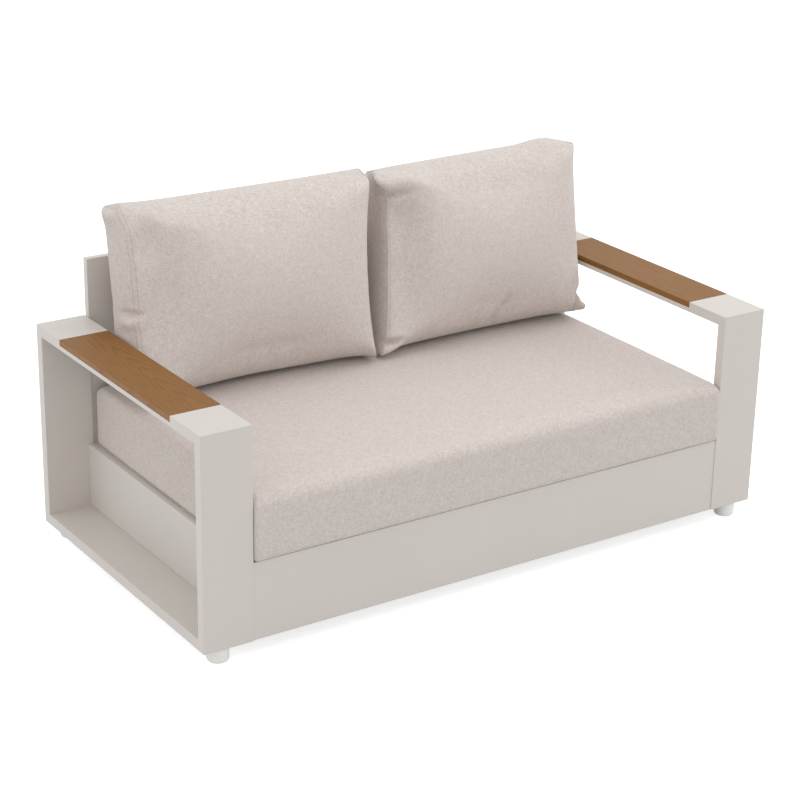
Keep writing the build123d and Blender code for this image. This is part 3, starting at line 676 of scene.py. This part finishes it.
def pillow_form(points, ends, tops, belly_rise):
    """Rounds a straight wrap into a pillow: full in its middle, square at its two sewn ends."""
    behind, up, across = points.T
    end_share = (across / (back_width / 2)).clip(-1, 1)
    height_share, depth_share = up / (back_height / 2), behind / (back_cap_depth / 2)
    middle_share = 1 - abs(end_share) ** end_fall
    fullness = middle_share ** end_taper
    front_fullness = middle_share ** np.where(end_share < 0, front_left_taper, end_taper)
    crown = np.where(depth_share > 0, rear_crown * fullness, front_crown * front_fullness)
    roundness = np.where(depth_share > 0, rear_round * fullness, front_round * front_fullness)
    sink, left_top, right_top = tops
    off_belly = height_share - np.where(depth_share > 0, 0, belly_rise)
    behind = depth_share * np.sqrt(1 - roundness * off_belly ** 2) * (back_cap_depth / 2 + crown)
    up = height_share * np.sqrt(1 - roundness * depth_share ** 2) * (
        back_height / 2 + np.where(height_share > 0, sink, 0) * fullness)
    up = up + ((height_share + 1) / 2) ** 2 * (left_top * (1 - end_share) + right_top * (1 + end_share)) / 2
    left_end, right_end = [middle + (top - foot) / 2 * height_share
                           + ((top + foot) / 2 - middle) * height_share ** 2 for foot, middle, top in ends]
    dome = across - back_width / 2 * end_share
    across = dome + left_end + (right_end - left_end) * (end_share + 1) / 2
    return np.stack([behind, up, across], -1)


wrap_columns = round(back_width / back_cell)
back_rings = [(back_width * (column / wrap_columns - 0.5), 0) for column in range(wrap_columns + 1)]
panel_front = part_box("back_sheet")[0].y
for side in sides:
    cushion = sewn_cover(f"{side}_back_cushion", back_cap_depth, back_height, back_rings,
                         back_cap_domes[side], back_cap_powers, back_cap_corner, (0, 0), back_cell,
                         (True, True))
    write_points(cushion.data, pillow_form(read_points(cushion.data), back_ends[side], back_tops[side],
                                           belly_rises[side]))
    swell(cushion, **back_filling)
    smooth_over(cushion)
    behind, up, across = read_points(cushion.data).T
    points = np.stack([across, up + back_height / 2, behind], -1)
    for place, move, reach in back_folds[side].values():
        nearness = np.exp(-(((points - place) / reach) ** 2).sum(axis=1, keepdims=True))
        points = points + nearness * move
    across, up, behind = points.T
    points = np.stack([across,
                       back_foot_y + up * math.sin(back_lean) + behind * math.cos(back_lean),
                       seat_high.z + up * math.cos(back_lean) - behind * math.sin(back_lean)], -1)
    points[:, 1] = points[:, 1].clip(None, panel_front - back_clearance)
    points[:, 2] = points[:, 2].clip(seat_high.z + back_clearance, None)
    write_points(cushion.data, points)
    cushion.data.materials.append(fabric)
    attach(cushion, f"{side}_back_cushion")
    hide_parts(f"{side}_back_cushion_cover", f"{side}_back_cushion_core")


# Studio
# A pale floor that ends in white all round, one soft light overhead and one at each side, the
# right one stronger, under an even white sky.

floor_half = 30.0
floor_colour = "#DADADA"
floor_glow = 0.72
sky_strength = 0.925
softboxes = {"overhead_softbox": {"place": (0, -0.3, 3.2), "size": 1.5, "power": 8},
             "right_softbox": {"place": (4, -0.5, 2.2), "size": 2.0, "power": 33},
             "left_softbox": {"place": (-4, -0.3, 2.2), "size": 2.0, "power": 7}}
softbox_aim = (0, 0, 0.4)


def direct_rays(tree):
    """Whether a ray comes from the camera or a glossy surface, and the facts about each ray."""
    ray = add_node(tree, "ShaderNodeLightPath", {}, {})
    direct = add_node(tree, "ShaderNodeMath", {"operation": "MAXIMUM"},
                      {0: ray["Is Camera Ray"], 1: ray["Is Glossy Ray"]})[0]
    return direct, ray


def studio_paint():
    """Matt white paint that glows in direct view and in gloss, so that the floor ends in white."""
    material = empty_material("matt_white_studio_floor")
    tree = material.node_tree
    direct, _ = direct_rays(tree)
    matt = add_node(tree, "ShaderNodeBsdfDiffuse", {}, {"Color": linear(floor_colour)})[0]
    glow = add_node(tree, "ShaderNodeEmission", {}, {"Color": (1, 1, 1, 1), "Strength": floor_glow})[0]
    both = add_node(tree, "ShaderNodeAddShader", {}, {0: matt, 1: glow})[0]
    surface = add_node(tree, "ShaderNodeMixShader", {}, {0: direct, 1: matt, 2: both})[0]
    add_node(tree, "ShaderNodeOutputMaterial", {}, {"Surface": surface})
    return material


def studio_sky():
    """An even sky, pure white to look at and a little weaker as a light."""
    sky = bpy.data.worlds.new("white_studio_sky")
    sky.use_nodes = True
    tree = sky.node_tree
    tree.nodes.clear()
    direct, ray = direct_rays(tree)
    clear = add_node(tree, "ShaderNodeMath", {"operation": "MAXIMUM"},
                     {0: direct, 1: ray["Is Transmission Ray"]})[0]
    strength = add_node(tree, "ShaderNodeMapRange", {},
                        {"Value": clear, "To Min": sky_strength, "To Max": 1.0})[0]
    white = add_node(tree, "ShaderNodeBackground", {}, {"Color": (1, 1, 1, 1), "Strength": strength})[0]
    add_node(tree, "ShaderNodeOutputWorld", {}, {"Surface": white})
    return sky


floor_corners = [(floor_half * x, floor_half * y, 0) for x, y in ((-1, -1), (1, -1), (1, 1), (-1, 1))]
floor = mesh_piece("studio_floor", floor_corners, [(0, 1, 2, 3)])
floor.data.materials.append(studio_paint())
scene.world = studio_sky()

for name, light in softboxes.items():
    lamp = bpy.data.lights.new(name, "AREA")
    lamp.shape, lamp.size, lamp.energy = "SQUARE", light["size"], light["power"]
    softbox = bpy.data.objects.new(name, lamp)
    softbox.location = light["place"]
    aim = Vector(softbox_aim) - Vector(light["place"])
    softbox.rotation_euler = aim.to_track_quat("-Z", "Y").to_euler()
    scene.collection.objects.link(softbox)
scene.view_settings.view_transform = "Standard"


# Camera
# Seen from the front left and a little above, from 4.9 m, through a long lens. The lens and the
# sensor are in millimetres, and the angles in radians.

camera_place = (-2.58511, -3.80947, 2.1539)
camera_yaw, camera_pitch, camera_roll = 0.59294, 0.37913, 0.0195
camera_lens, camera_sensor = 95.53, 36.0

camera = bpy.data.objects.new("camera", bpy.data.cameras.new("camera"))
camera.data.lens, camera.data.sensor_width = camera_lens, camera_sensor
turn = Euler((math.pi / 2 - camera_pitch, 0, -camera_yaw)).to_matrix() @ Matrix.Rotation(camera_roll, 3, "Z")
camera.matrix_world = Matrix.Translation(camera_place) @ turn.to_4x4()
scene.collection.objects.link(camera)
scene.camera = camera
